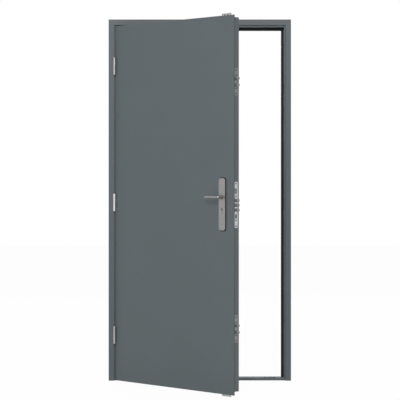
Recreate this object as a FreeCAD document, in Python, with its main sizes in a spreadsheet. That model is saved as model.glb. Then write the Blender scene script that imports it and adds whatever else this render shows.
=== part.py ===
import FreeCAD, Part
import os
import re

import Sketcher

# A steel utility door: a single leaf of two pressed sheets on three butt hinges, in a
# folded frame with a threshold, locked by round bolts along its edge, top and foot.
# X runs along the closed leaf from hinge to lock, Y into the building, Z up.
# The origin is the middle of the threshold's underside. Millimetres and degrees.

SIZES = (
    ("frame_width", 1020, "over the two jambs"),
    ("frame_height", 2020, "threshold underside to top of head"),
    ("frame_depth", 80, "front face to back face"),
    ("frame_sheet", 1.5, "folded sheet of the frame"),
    ("fold_radius", 2, "outside radius of a fold"),
    ("face_width", 31, "front face of a jamb"),
    ("landing_width", 8.5, "landing of a jamb"),
    ("stop_width", 14, "stop of a jamb"),
    ("head_face", 32.5, "front face of the head"),
    ("head_landing", 10, "landing of the head"),
    ("head_stop", 16, "stop of the head"),
    ("landing_depth", 10.5, "front face to the landing behind the leaf's lip"),
    ("stop_depth", 60, "front face to the stop"),
    ("wall_return", 22, "returns of the frame along the wall"),
    ("threshold_height", 15, "closed flat tube between the jambs"),
    ("fixing_radius", 5.5, "holes for the wall anchors"),
    ("fixing_margin", 250, "end of the jamb to its outer anchors"),
    ("fixing_pitch", 500, "from one anchor to the next inner one"),
    ("seal_gap", 5, "seal to the closed leaf"),
    ("seal_round", 3, "rounded front edges of the seal"),
    ("leaf_thickness", 48, "front skin to back skin"),
    ("leaf_sheet", 1.5, "pressed sheet of the leaf"),
    ("hem_round", 1.2, "rounded edges of the front skin"),
    ("lip_thickness", 5.5, "hemmed lip of the front skin"),
    ("seam_width", 2.5, "open seam along the edge of the hem"),
    ("seam_depth", 4, "open seam along the edge of the hem"),
    ("hem_width", 20, "hem of the front skin behind the tray's edge"),
    ("hinge_gap", 4.5, "hinge jamb to leaf"),
    ("lip_gap", 5, "lip to the lock jamb's face"),
    ("head_gap", 5.5, "lip to the head's face"),
    ("foot_gap", 3, "lip to the ground line"),
    ("side_lip", 12, "lip past the tray on hinge and lock side"),
    ("top_lip", 12, "lip past the tray at the top"),
    ("foot_lip", 18, "lip past the tray at the foot"),
    ("open_angle", 47, "how far the leaf stands open"),
    ("knuckle_radius", 7, "hinge barrel"),
    ("knuckle_length", 18.4, "one knuckle"),
    ("knuckle_gap", 0.5, "between knuckles"),
    ("hinge_pin_radius", 4, "hinge pin"),
    ("hinge_pin_fit", 0.05, "pin to knuckle bore"),
    ("hinge_tip", 2, "tip at each end of the pin"),
    ("hinge_tip_bevel", 1.2, "tip's outer edge"),
    ("pin_forward", 8, "pin axis in front of the leaf's face"),
    ("hinge_plate", 2, "thickness of a hinge plate"),
    ("hinge_reach", 36, "cranked hinge plate behind the face"),
    ("knuckle_clear", 0.7, "hinge plate to the other plate's knuckles"),
    ("hinge_foot_drop", 253, "leaf's foot to the lower hinge's middle"),
    ("hinge_top_drop", 224, "leaf's top to the upper hinge's middle"),
    ("hinge_sag", 10, "middle hinge below the midway of the other two"),
    ("lock_inset", 72.5, "spindle axis in from the tray's lock edge"),
    ("rod_inset", 70, "middle bolt at top and foot, in from the tray's lock edge"),
    ("lock_depth", 26, "bolt axes behind the leaf's face"),
    ("strip_width", 24, "lock faceplates"),
    ("strip_thickness", 3, "lock faceplates"),
    ("strip_fit", 0.3, "faceplate in its cut-out"),
    ("bolt_radius", 9, "round bolts"),
    ("bolt_fit", 0.3, "bolt in its faceplate"),
    ("bolt_stock", 28, "bolt behind the edge when thrown"),
    ("carriage", 6, "bar that joins the bolts of one lock"),
    ("bolt_throw", 20, "bolts past the lock edge"),
    ("keep_clear", 2, "bolt to its hole in the frame"),
    ("bolt_tip", 1.5, "bevelled end of a bolt"),
    ("main_drop", 40, "lever axis to the main faceplate's middle"),
    ("main_length", 240, "main faceplate"),
    ("main_bolt_drop", 41.5, "lever axis to the middle main bolt"),
    ("main_pitch", 25, "between main bolts"),
    ("upper_drop", 347.5, "leaf's top to the upper lock's middle"),
    ("lower_rise", 345, "leaf's foot to the lower lock's middle"),
    ("side_length", 142, "upper and lower faceplates"),
    ("side_pitch", 34.5, "between the two bolts of a side lock"),
    ("latch_rise", 31.5, "lever axis to the latch"),
    ("latch_height", 27, "latch"),
    ("latch_width", 14, "latch across the leaf"),
    ("latch_throw", 12, "latch past the lock edge"),
    ("latch_nose", 3, "flat tip of the bevelled latch"),
    ("window_drop", 100, "lever axis to the window below the bolts"),
    ("window_height", 22, "window below the bolts"),
    ("window_width", 10, "window below the bolts"),
    ("rod_pitch", 23.5, "between the bolts at top and foot"),
    ("rod_strip", 90, "faceplates at top and foot"),
    ("top_throw", 25, "top bolts past the tray"),
    ("foot_throw", 31, "foot bolts past the tray"),
    ("spindle_height", 1033, "lever axis above the ground line"),
    ("spindle_side", 8, "square spindle"),
    ("cylinder_drop", 64, "lever axis to key cylinder"),
    ("handle_width", 50, "handle plate"),
    ("handle_above", 100, "handle plate above the lever axis"),
    ("handle_below", 175, "handle plate below the lever axis"),
    ("handle_thick", 6.5, "handle plate"),
    ("handle_corner", 15, "corners of the handle plate"),
    ("handle_bevel", 1.2, "bevelled rim of the handle plate"),
    ("lever_radius", 7.5, "round bar of the lever"),
    ("lever_bend", 15, "bend radius of the lever's axis"),
    ("lever_standoff", 37, "lever axis off the leaf's face"),
    ("lever_reach", 100.5, "lever past the spindle axis"),
    ("lever_fit", 0.3, "lever neck in its plate"),
    ("barrel_radius", 8.5, "round part of the key cylinder"),
    ("barrel_web", 5, "half width of the key cylinder's lower web"),
    ("barrel_drop", 19.5, "key cylinder axis to the middle of the web's round end"),
    ("barrel_proud", 0.5, "key cylinder past the handle plate"),
    ("barrel_fit", 0.3, "key cylinder in the plates"),
    ("key_slot", 2.4, "width of the key slot"),
    ("key_height", 9, "height of the key slot"),
    ("key_depth", 8, "depth of the key slot"),
)

doc = FreeCAD.newDocument("UtilityDoor")
sheet = doc.addObject("Spreadsheet::Sheet", "Sizes")
for row, (alias, size, meaning) in enumerate(SIZES, start=1):
    sheet.set(f"A{row}", alias)
    sheet.set(f"B{row}", str(size))
    sheet.set(f"C{row}", meaning)
    sheet.setAlias(f"B{row}", alias)
doc.recompute()

PARTS = {}


# Expressions are written with the plain names of the sizes.
def bound(text):
    return re.sub(r"[a-z]\w*", lambda word: "Sizes." + word.group(), text)


def number(text):
    return float(sheet.evalExpression(text))


def bind(feature, **properties):
    for name, text in properties.items():
        feature.setExpression(name.replace("__", "."), bound(text))


# Places that several pieces share, as expressions of the sizes.
FRONT = "(0 - frame_depth / 2)"
BACK = "(frame_depth / 2)"
LANDING = f"({FRONT} + landing_depth)"
STOP = f"({FRONT} + stop_depth)"
RETURN = f"({FRONT} + wall_return)"
SIDE = "(frame_width / 2)"
FACE_EDGE = f"({SIDE} - face_width)"
REVEAL = f"({FACE_EDGE} - landing_width)"
STOP_EDGE = f"({REVEAL} - stop_width)"
HEAD_FACE = "(frame_height - head_face)"
HEAD_REVEAL = f"({HEAD_FACE} - head_landing)"
HEAD_STOP = f"({HEAD_REVEAL} - head_stop)"
SEAL_FRONT = f"({FRONT} + leaf_thickness + seal_gap)"

HINGE_EDGE = f"(0 - {FACE_EDGE} + hinge_gap)"
LIP_EDGE = f"({FACE_EDGE} - lip_gap)"
LOCK_EDGE = f"({LIP_EDGE} - side_lip)"
TRAY_EDGE = f"({HINGE_EDGE} + side_lip)"
LIP_TOP = f"({HEAD_FACE} - head_gap)"
TRAY_TOP = f"({LIP_TOP} - top_lip)"
TRAY_FOOT = "(foot_gap + foot_lip)"
LIP_BACK = f"({FRONT} + lip_thickness)"
LEAF_BACK = f"({FRONT} + leaf_thickness)"

PIN_X = f"(0 - {FACE_EDGE} + hinge_gap / 2)"
PIN_Y = f"({FRONT} - pin_forward)"
KNUCKLE_STEP = "(knuckle_length + knuckle_gap)"
KNUCKLES = 5
HINGE_LENGTH = f"({KNUCKLES} * knuckle_length + {KNUCKLES - 1} * knuckle_gap)"
UPPER_HINGE = f"({LIP_TOP} - hinge_top_drop)"
LOWER_HINGE = "(foot_gap + hinge_foot_drop)"
HINGES = {
    "upper": UPPER_HINGE,
    "middle": f"(({UPPER_HINGE} + {LOWER_HINGE}) / 2 - hinge_sag)",
    "lower": LOWER_HINGE,
}

LOCK_X = f"({LOCK_EDGE} - lock_inset)"
ROD_X = f"({LOCK_EDGE} - rod_inset)"
BOLT_Y = f"({FRONT} + lock_depth)"
CYLINDER_Z = "(spindle_height - cylinder_drop)"
MAIN_MIDDLE = "(spindle_height - main_drop)"
UPPER_MIDDLE = f"({LIP_TOP} - upper_drop)"
LOWER_MIDDLE = "(foot_gap + lower_rise)"
MAIN_BOLTS = [f"spindle_height - main_bolt_drop + {i} * main_pitch" for i in (-1, 0, 1)]
UPPER_BOLTS = [f"{UPPER_MIDDLE} + {i} * side_pitch" for i in (-0.5, 0.5)]
LOWER_BOLTS = [f"{LOWER_MIDDLE} + {i} * side_pitch" for i in (-0.5, 0.5)]
LATCH_FOOT = "(spindle_height + latch_rise - latch_height / 2)"
LATCH_TOP = f"({LATCH_FOOT} + latch_height)"
WINDOW_FOOT = "(spindle_height - window_drop - window_height / 2)"
RODS = [f"{ROD_X} + {i} * rod_pitch" for i in (-1, 0, 1)]
FIXINGS = [
    "fixing_margin",
    "fixing_margin + fixing_pitch",
    "frame_height - fixing_margin - fixing_pitch",
    "frame_height - fixing_margin",
]

# The open leaf: everything it carries is drawn closed and swung about the hinge pins.
SWING = FreeCAD.Placement(
    FreeCAD.Vector(0, 0, 0),
    FreeCAD.Rotation(FreeCAD.Vector(0, 0, 1), -number("open_angle")),
    FreeCAD.Vector(number(PIN_X), number(PIN_Y), 0),
)


def keep(name, piece, on_leaf=False):
    piece.Label = name
    if on_leaf:
        piece.Placement = SWING.multiply(piece.Placement)
    PARTS[name] = piece


def body(name):
    return doc.addObject("PartDesign::Body", name + "_body")


def sketch(owner, role, start="0"):
    plane = next(p for p in owner.Origin.OriginFeatures if p.Role == role)
    drawn = owner.newObject("Sketcher::SketchObject", "sketch")
    drawn.AttachmentSupport = (plane, [""])
    drawn.MapMode = "FlatFace"
    drawn.setExpression("AttachmentOffset.Base.z", bound(start))
    return drawn


def fix_point(drawn, geometry, position, place):
    for kind, text in zip(("DistanceX", "DistanceY"), place):
        rule = Sketcher.Constraint(kind, -1, 1, geometry, position, number(text))
        drawn.setExpression(f"Constraints[{drawn.addConstraint(rule)}]", bound(text))


def polygon(drawn, corners):
    first = drawn.GeometryCount
    count = len(corners)
    points = [FreeCAD.Vector(number(u), number(v), 0) for u, v in corners]
    for i in range(count):
        drawn.addGeometry(Part.LineSegment(points[i], points[(i + 1) % count]))
    for i in range(count):
        following = first + (i + 1) % count
        drawn.addConstraint(Sketcher.Constraint("Coincident", first + i, 2, following, 1))
    for i, place in enumerate(corners):
        fix_point(drawn, first + i, 1, place)
    return drawn


def rectangle(drawn, low, high):
    return polygon(drawn, [low, (high[0], low[1]), high, (low[0], high[1])])


def circle(drawn, middle, radius):
    point = FreeCAD.Vector(number(middle[0]), number(middle[1]), 0)
    up = FreeCAD.Vector(0, 0, 1)
    index = drawn.addGeometry(Part.Circle(point, up, number(radius)))
    fix_point(drawn, index, 3, middle)
    rule = Sketcher.Constraint("Radius", index, number(radius))
    drawn.setExpression(f"Constraints[{drawn.addConstraint(rule)}]", bound(radius))
    return drawn


def pad(owner, drawn, length, back=False):
    feature = owner.newObject("PartDesign::Pad", "pad")
    feature.Profile = drawn
    feature.Reversed = back
    bind(feature, Length=length)
    doc.recompute()
    return feature


def pocket(owner, drawn, length, back=False):
    before = owner.Shape.Volume
    feature = owner.newObject("PartDesign::Pocket", "pocket")
    feature.Profile = drawn
    feature.Reversed = back
    bind(feature, Length=length)
    doc.recompute()
    if not owner.Shape.Volume < before:
        raise RuntimeError(f"{owner.Name}: a pocket cuts nothing")
    return feature


X_AXIS = FreeCAD.Vector(1, 0, 0)
Y_AXIS = FreeCAD.Vector(0, 1, 0)
Z_AXIS = FreeCAD.Vector(0, 0, 1)
QUARTER = 90
NEAR = 1e-3


def along(edge, axis):
    run = edge.Vertexes[-1].Point - edge.Vertexes[0].Point
    return run.Length > NEAR and abs(abs(run.dot(axis)) - run.Length) < NEAR


def fillet(owner, radius, *rows):
    # Each row names an axis and the spots where straight edges along it get rounded.
    base = owner.Tip
    names = []
    for axis, spots in rows:
        across = [i for i in range(3) if axis[i] == 0]
        wanted = [[number(text) for text in spot] for spot in spots]
        for i, edge in enumerate(base.Shape.Edges, start=1):
            at = [edge.Vertexes[0].Point[k] for k in across]
            close = any(max(abs(a - b) for a, b in zip(at, spot)) < NEAR for spot in wanted)
            if close and along(edge, axis):
                names.append(f"Edge{i}")
    feature = owner.newObject("PartDesign::Fillet", "fillet")
    feature.Base = (base, names)
    bind(feature, Radius=radius)
    doc.recompute()
    return feature


def box(low, high):
    made = doc.addObject("Part::Box", "box")
    sides = [f"{b} - {a}" for a, b in zip(low, high)]
    bind(made, Length=sides[0], Width=sides[1], Height=sides[2])
    bind(made, Placement__Base__x=low[0], Placement__Base__y=low[1], Placement__Base__z=low[2])
    return made


# A round bar from a start point along X, Y or Z.
TURNS = {
    "X": FreeCAD.Rotation(Y_AXIS, QUARTER),
    "Y": FreeCAD.Rotation(X_AXIS, -QUARTER),
    "Z": FreeCAD.Rotation(),
}


def bar(radius, length, start, axis):
    made = doc.addObject("Part::Cylinder", "bar")
    made.Placement = FreeCAD.Placement(FreeCAD.Vector(), TURNS[axis])
    bind(made, Radius=radius, Height=length)
    bind(made, Placement__Base__x=start[0], Placement__Base__y=start[1], Placement__Base__z=start[2])
    return made


# A bevelled end that carries on from a bar, from one radius to a smaller one.
def tip(radius, end_radius, length, start, axis, back=False):
    made = doc.addObject("Part::Cone", "tip")
    turn = TURNS[axis].multiply(FreeCAD.Rotation(X_AXIS, 2 * QUARTER if back else 0))
    made.Placement = FreeCAD.Placement(FreeCAD.Vector(), turn)
    bind(made, Radius1=radius, Radius2=end_radius, Height=length)
    bind(made, Placement__Base__x=start[0], Placement__Base__y=start[1], Placement__Base__z=start[2])
    return made


def fuse(shapes):
    made = doc.addObject("Part::MultiFuse", "fuse")
    made.Shapes = shapes
    made.Refine = True
    return made


def cut(base, tool):
    made = doc.addObject("Part::Cut", "cut")
    made.Base = base
    made.Tool = tool
    return made


# The frame: one folded sheet for each side, open towards the wall between two returns.
# Each corner has its place and the way its inside face lies. Inward folds are named apart.
def folded(name, role, corners, inward, slot, start, length, axis):
    owner = body(name)
    outer = [(u, v) for u, v, du, dv in corners]
    inner = [
        (f"{u} + {du} * frame_sheet", f"{v} + {dv} * frame_sheet")
        for u, v, du, dv in corners
    ]
    pad(owner, polygon(sketch(owner, role, start), outer), length)
    pocket(owner, polygon(sketch(owner, role, start), inner + slot), length, back=True)
    outward = [i for i in range(len(corners)) if i not in inward]
    wide = [outer[i] for i in outward] + [inner[i] for i in inward]
    tight = [inner[i] for i in outward] + [outer[i] for i in inward]
    fillet(owner, "fold_radius", (axis, wide))
    fillet(owner, "fold_radius - frame_sheet", (axis, tight))
    return owner


# The front of a jamb's top is cut to a mitre, from the inner corner of the face to the outer one.
def mitre(owner, side):
    corners = [
        (f"{side} * {FACE_EDGE}", HEAD_FACE),
        (f"{side} * {SIDE}", "frame_height"),
        (f"{side} * {FACE_EDGE}", "frame_height"),
    ]
    pocket(owner, polygon(sketch(owner, "XZ_Plane", f"0 - {FRONT}"), corners), "wall_return")


# Anchor holes go through the inner reveal and the return behind it.
def anchor_holes(owner, start):
    drawn = sketch(owner, "YZ_Plane", start)
    for height in FIXINGS:
        circle(drawn, (f"({STOP} + {BACK}) / 2", height), "fixing_radius")
    pocket(owner, drawn, f"{SIDE} - {STOP_EDGE}", back=True)


def jamb(name, side):
    owner = folded(
        name,
        "XY_Plane",
        [
            (f"{side} * {SIDE}", FRONT, -side, 1),
            (f"{side} * {FACE_EDGE}", FRONT, side, 1),
            (f"{side} * {FACE_EDGE}", LANDING, side, 1),
            (f"{side} * {REVEAL}", LANDING, side, 1),
            (f"{side} * {REVEAL}", STOP, side, 1),
            (f"{side} * {STOP_EDGE}", STOP, side, 1),
            (f"{side} * {STOP_EDGE}", BACK, side, -1),
            (f"{side} * {SIDE}", BACK, -side, -1),
        ],
        (2, 4),
        [
            (f"{side} * ({SIDE} - frame_sheet)", f"{BACK} - wall_return"),
            (f"{side} * {SIDE}", f"{BACK} - wall_return"),
            (f"{side} * {SIDE}", RETURN),
            (f"{side} * ({SIDE} - frame_sheet)", RETURN),
        ],
        "0",
        "frame_height",
        Z_AXIS,
    )
    mitre(owner, side)
    return owner


lock_jamb = jamb("lock_jamb", 1)
anchor_holes(lock_jamb, STOP_EDGE)
# Punched keeps: a round hole for each bolt and a rectangular one for the latch.
keeps = sketch(lock_jamb, "YZ_Plane", REVEAL)
for height in MAIN_BOLTS + UPPER_BOLTS + LOWER_BOLTS:
    circle(keeps, (BOLT_Y, height), "bolt_radius + keep_clear")
rectangle(
    keeps,
    (f"{BOLT_Y} - latch_width / 2 - keep_clear", f"{LATCH_FOOT} - keep_clear"),
    (f"{BOLT_Y} + latch_width / 2 + keep_clear", f"{LATCH_TOP} + keep_clear"),
)
pocket(lock_jamb, keeps, "frame_sheet", back=True)
keep("lock_jamb", lock_jamb)

hinge_jamb = jamb("hinge_jamb", -1)
anchor_holes(hinge_jamb, f"0 - {SIDE}")
keep("hinge_jamb", hinge_jamb)

# The head meets the jambs in a mitre at the front, and is cut back round their stops behind it.
head = folded(
    "frame_head",
    "YZ_Plane",
    [
        (FRONT, "frame_height", 1, -1),
        (FRONT, HEAD_FACE, 1, 1),
        (LANDING, HEAD_FACE, 1, 1),
        (LANDING, HEAD_REVEAL, 1, 1),
        (STOP, HEAD_REVEAL, 1, 1),
        (STOP, HEAD_STOP, 1, 1),
        (BACK, HEAD_STOP, -1, 1),
        (BACK, "frame_height", -1, -1),
    ],
    (2, 4),
    [
        (f"{BACK} - wall_return", "frame_height - frame_sheet"),
        (f"{BACK} - wall_return", "frame_height"),
        (f"{FRONT} + wall_return", "frame_height"),
        (f"{FRONT} + wall_return", "frame_height - frame_sheet"),
    ],
    f"0 - {SIDE}",
    f"2 * {SIDE}",
    X_AXIS,
)
ends = sketch(head, "XY_Plane", "frame_height")
for side in (-1, 1):
    polygon(
        ends,
        [
            (f"{side} * {SIDE}", RETURN),
            (f"{side} * {SIDE}", BACK),
            (f"{side} * {STOP_EDGE}", BACK),
            (f"{side} * {STOP_EDGE}", STOP),
            (f"{side} * {REVEAL}", STOP),
            (f"{side} * {REVEAL}", LANDING),
            (f"{side} * {FACE_EDGE}", LANDING),
            (f"{side} * {FACE_EDGE}", RETURN),
        ],
    )
pocket(head, ends, "frame_height")
mitres = sketch(head, "XZ_Plane", f"0 - {FRONT}")
for side in (-1, 1):
    polygon(
        mitres,
        [
            (f"{side} * {FACE_EDGE}", HEAD_STOP),
            (f"{side} * {FACE_EDGE}", HEAD_FACE),
            (f"{side} * {SIDE}", "frame_height"),
            (f"{side} * {SIDE}", HEAD_STOP),
        ],
    )
pocket(head, mitres, "wall_return")
rod_keeps = sketch(head, "XY_Plane", HEAD_REVEAL)
for place in RODS:
    circle(rod_keeps, (place, BOLT_Y), "bolt_radius + keep_clear")
pocket(head, rod_keeps, "frame_sheet", back=True)
keep("frame_head", head)

# The threshold is a flat closed tube, cut back round the stops, with a hole for each foot bolt.
sill = body("threshold")
low = (LANDING, "0")
high = (BACK, "threshold_height")
pad(sill, rectangle(sketch(sill, "YZ_Plane", f"0 - {REVEAL}"), low, high), f"2 * {REVEAL}")
fillet(sill, "fold_radius", (X_AXIS, [low, high, (low[0], high[1]), (high[0], low[1])]))
low = (f"{LANDING} + frame_sheet", "frame_sheet")
high = (f"{BACK} - frame_sheet", "threshold_height - frame_sheet")
hollow = rectangle(sketch(sill, "YZ_Plane", f"0 - {REVEAL}"), low, high)
pocket(sill, hollow, f"2 * {REVEAL}", back=True)
fillet(sill, "fold_radius - frame_sheet", (X_AXIS, [low, high, (low[0], high[1]), (high[0], low[1])]))
ends = sketch(sill, "XY_Plane", "threshold_height")
rectangle(ends, (f"0 - {REVEAL}", STOP), (f"0 - {STOP_EDGE}", BACK))
rectangle(ends, (STOP_EDGE, STOP), (REVEAL, BACK))
for place in RODS:
    circle(ends, (place, BOLT_Y), "bolt_radius + keep_clear")
pocket(sill, ends, "threshold_height")
keep("threshold", sill)


# Rubber seals fill the stops, with rounded front edges and room for the fold behind them.
def seal(name, role, low, high, start, length, axis, front_edges, fold):
    owner = body(name)
    pad(owner, rectangle(sketch(owner, role, start), low, high), length)
    fillet(owner, "seal_round", (axis, front_edges))
    fillet(owner, "fold_radius", (axis, [fold]))
    keep(name, owner)


upright = f"{HEAD_STOP} - threshold_height"
seal(
    "lock_jamb_seal",
    "XY_Plane",
    (STOP_EDGE, SEAL_FRONT),
    (REVEAL, STOP),
    "threshold_height",
    upright,
    Z_AXIS,
    [(STOP_EDGE, SEAL_FRONT), (REVEAL, SEAL_FRONT)],
    (REVEAL, STOP),
)
seal(
    "hinge_jamb_seal",
    "XY_Plane",
    (f"0 - {REVEAL}", SEAL_FRONT),
    (f"0 - {STOP_EDGE}", STOP),
    "threshold_height",
    upright,
    Z_AXIS,
    [(f"0 - {REVEAL}", SEAL_FRONT), (f"0 - {STOP_EDGE}", SEAL_FRONT)],
    (f"0 - {REVEAL}", STOP),
)
seal(
    "head_seal",
    "YZ_Plane",
    (SEAL_FRONT, HEAD_STOP),
    (STOP, HEAD_REVEAL),
    f"0 - {REVEAL}",
    f"2 * {REVEAL}",
    X_AXIS,
    [(SEAL_FRONT, HEAD_STOP), (SEAL_FRONT, HEAD_REVEAL)],
    (STOP, HEAD_REVEAL),
)


# Butt hinges with cranked plates, which follow the jamb's rebate on one side and the leaf's lip
# and tray on the other. Their knuckles stand in turn on one pin.
def hinge_half(name, middle, crank, bend, root, turns):
    foot = f"({middle} - {HINGE_LENGTH} / 2)"
    owner = body(name)
    pad(owner, polygon(sketch(owner, "XY_Plane", foot), crank), HINGE_LENGTH)
    fillet(owner, "fold_radius", (Z_AXIS, [bend]))
    for turn in turns:
        level = f"({foot} + {turn} * {KNUCKLE_STEP})"
        low = (root, PIN_Y)
        high = (f"{root} + hinge_plate", PLATE_FRONT)
        pad(owner, rectangle(sketch(owner, "XY_Plane", level), low, high), "knuckle_length")
        drawn = circle(sketch(owner, "XY_Plane", level), (PIN_X, PIN_Y), "knuckle_radius")
        pad(owner, drawn, "knuckle_length")
    bore = circle(sketch(owner, "XY_Plane", foot), (PIN_X, PIN_Y), "hinge_pin_radius + hinge_pin_fit")
    pocket(owner, bore, HINGE_LENGTH, back=True)
    return owner


PLATE_FRONT = f"({PIN_Y} + knuckle_radius + knuckle_clear)"
PLATE_BACK = f"({FRONT} + hinge_reach)"
WALL = f"(0 - {FACE_EDGE})"
INNER_WALL = f"(0 - {REVEAL})"
FRAME_CRANK = [
    (WALL, PLATE_FRONT),
    (f"{WALL} + hinge_plate", PLATE_FRONT),
    (f"{WALL} + hinge_plate", f"{LANDING} - hinge_plate"),
    (f"{INNER_WALL} + hinge_plate", f"{LANDING} - hinge_plate"),
    (f"{INNER_WALL} + hinge_plate", PLATE_BACK),
    (INNER_WALL, PLATE_BACK),
    (INNER_WALL, LANDING),
    (WALL, LANDING),
]
LEAF_CRANK = [
    (HINGE_EDGE, PLATE_FRONT),
    (HINGE_EDGE, LIP_BACK),
    (TRAY_EDGE, LIP_BACK),
    (TRAY_EDGE, PLATE_BACK),
    (f"{TRAY_EDGE} - hinge_plate", PLATE_BACK),
    (f"{TRAY_EDGE} - hinge_plate", f"{LIP_BACK} + hinge_plate"),
    (f"{HINGE_EDGE} - hinge_plate", f"{LIP_BACK} + hinge_plate"),
    (f"{HINGE_EDGE} - hinge_plate", PLATE_FRONT),
]
for name, middle in HINGES.items():
    on_frame = f"{name}_hinge_frame_plate"
    keep(on_frame, hinge_half(on_frame, middle, FRAME_CRANK, (WALL, LANDING), WALL, (0, 2, 4)))
    on_door = f"{name}_hinge_leaf_plate"
    root = f"{HINGE_EDGE} - hinge_plate"
    bend = (root, f"{LIP_BACK} + hinge_plate")
    keep(on_door, hinge_half(on_door, middle, LEAF_CRANK, bend, root, (1, 3)), on_leaf=True)
    foot = f"({middle} - {HINGE_LENGTH} / 2)"
    narrow = "knuckle_radius - hinge_tip_bevel"
    pin = fuse(
        [
            bar("hinge_pin_radius", HINGE_LENGTH, (PIN_X, PIN_Y, foot), "Z"),
            tip("knuckle_radius", narrow, "hinge_tip", (PIN_X, PIN_Y, foot), "Z", back=True),
            tip("knuckle_radius", narrow, "hinge_tip", (PIN_X, PIN_Y, f"{foot} + {HINGE_LENGTH}"), "Z"),
        ]
    )
    keep(f"{name}_hinge_pin", pin)


# The leaf's holes for the spindle and the key cylinder, through any of its sheets and plates.
def lock_holes(owner, face_y, length, spindle_radius):
    drawn = sketch(owner, "XZ_Plane", f"0 - {face_y}")
    circle(drawn, (LOCK_X, "spindle_height"), spindle_radius)
    pocket(owner, drawn, length)
    drawn = sketch(owner, "XZ_Plane", f"0 - {face_y}")
    circle(drawn, (LOCK_X, CYLINDER_Z), "barrel_radius + barrel_fit")
    pocket(owner, drawn, length)
    drawn = sketch(owner, "XZ_Plane", f"0 - {face_y}")
    rectangle(
        drawn,
        (f"{LOCK_X} - barrel_web - barrel_fit", f"{CYLINDER_Z} - barrel_drop - barrel_web - barrel_fit"),
        (f"{LOCK_X} + barrel_web + barrel_fit", CYLINDER_Z),
    )
    pocket(owner, drawn, length)


# The front skin: a flat sheet whose hemmed rim stands past the tray as a lip on all sides, with
# the hem's open seam along its edge.
skin = body("leaf_outer_skin")
drawn = rectangle(sketch(skin, "XZ_Plane", f"0 - {FRONT}"), (HINGE_EDGE, "foot_gap"), (LIP_EDGE, LIP_TOP))
pad(skin, drawn, "lip_thickness", back=True)
rims = [(FRONT, LIP_TOP), (FRONT, "foot_gap"), (LIP_BACK, LIP_TOP), (LIP_BACK, "foot_gap")]
fillet(
    skin,
    "hem_round",
    (Z_AXIS, [(HINGE_EDGE, FRONT), (HINGE_EDGE, LIP_BACK), (LIP_EDGE, FRONT), (LIP_EDGE, LIP_BACK)]),
    (X_AXIS, rims),
)
seam = sketch(skin, "XZ_Plane", f"0 - {FRONT} - leaf_sheet")
rectangle(seam, (HINGE_EDGE, "foot_gap"), (LIP_EDGE, LIP_TOP))
rectangle(
    seam,
    (f"{HINGE_EDGE} + seam_depth", "foot_gap + seam_depth"),
    (f"{LIP_EDGE} - seam_depth", f"{LIP_TOP} - seam_depth"),
)
pocket(skin, seam, "seam_width")
drawn = rectangle(
    sketch(skin, "XZ_Plane", f"0 - {LIP_BACK}"),
    (f"{TRAY_EDGE} + hem_width", f"{TRAY_FOOT} + hem_width"),
    (f"{LOCK_EDGE} - hem_width", f"{TRAY_TOP} - hem_width"),
)
pocket(skin, drawn, "lip_thickness - leaf_sheet", back=True)
lock_holes(skin, FRONT, "leaf_sheet", "lever_radius + lever_fit")
keep("leaf_outer_skin", skin, on_leaf=True)

# The tray: the back sheet with its four edges folded forward to the skin's rim.
tray = body("leaf_inner_tray")
drawn = rectangle(sketch(tray, "XZ_Plane", f"0 - {LIP_BACK}"), (TRAY_EDGE, TRAY_FOOT), (LOCK_EDGE, TRAY_TOP))
pad(tray, drawn, "leaf_thickness - lip_thickness", back=True)
fillet(
    tray,
    "fold_radius",
    (Z_AXIS, [(TRAY_EDGE, LEAF_BACK), (LOCK_EDGE, LEAF_BACK)]),
    (X_AXIS, [(LEAF_BACK, TRAY_TOP), (LEAF_BACK, TRAY_FOOT)]),
)
drawn = rectangle(
    sketch(tray, "XZ_Plane", f"0 - {LIP_BACK}"),
    (f"{TRAY_EDGE} + leaf_sheet", f"{TRAY_FOOT} + leaf_sheet"),
    (f"{LOCK_EDGE} - leaf_sheet", f"{TRAY_TOP} - leaf_sheet"),
)
pocket(tray, drawn, "leaf_thickness - lip_thickness - leaf_sheet")
lock_holes(tray, f"({LEAF_BACK} - leaf_sheet)", "leaf_sheet", "lever_radius + lever_fit")

STRIPS = {
    "main": (MAIN_MIDDLE, "main_length", MAIN_BOLTS),
    "upper": (UPPER_MIDDLE, "side_length", UPPER_BOLTS),
    "lower": (LOWER_MIDDLE, "side_length", LOWER_BOLTS),
}
edge_cuts = sketch(tray, "YZ_Plane", LOCK_EDGE)
for middle, length, heights in STRIPS.values():
    rectangle(
        edge_cuts,
        (f"{BOLT_Y} - strip_width / 2 - strip_fit", f"{middle} - {length} / 2 - strip_fit"),
        (f"{BOLT_Y} + strip_width / 2 + strip_fit", f"{middle} + {length} / 2 + strip_fit"),
    )
pocket(tray, edge_cuts, "leaf_sheet")
for level, inwards in ((TRAY_TOP, False), (TRAY_FOOT, True)):
    end_cut = rectangle(
        sketch(tray, "XY_Plane", level),
        (f"{ROD_X} - rod_strip / 2 - strip_fit", f"{BOLT_Y} - strip_width / 2 - strip_fit"),
        (f"{ROD_X} + rod_strip / 2 + strip_fit", f"{BOLT_Y} + strip_width / 2 + strip_fit"),
    )
    pocket(tray, end_cut, "leaf_sheet", back=inwards)
keep("leaf_inner_tray", tray, on_leaf=True)

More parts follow.
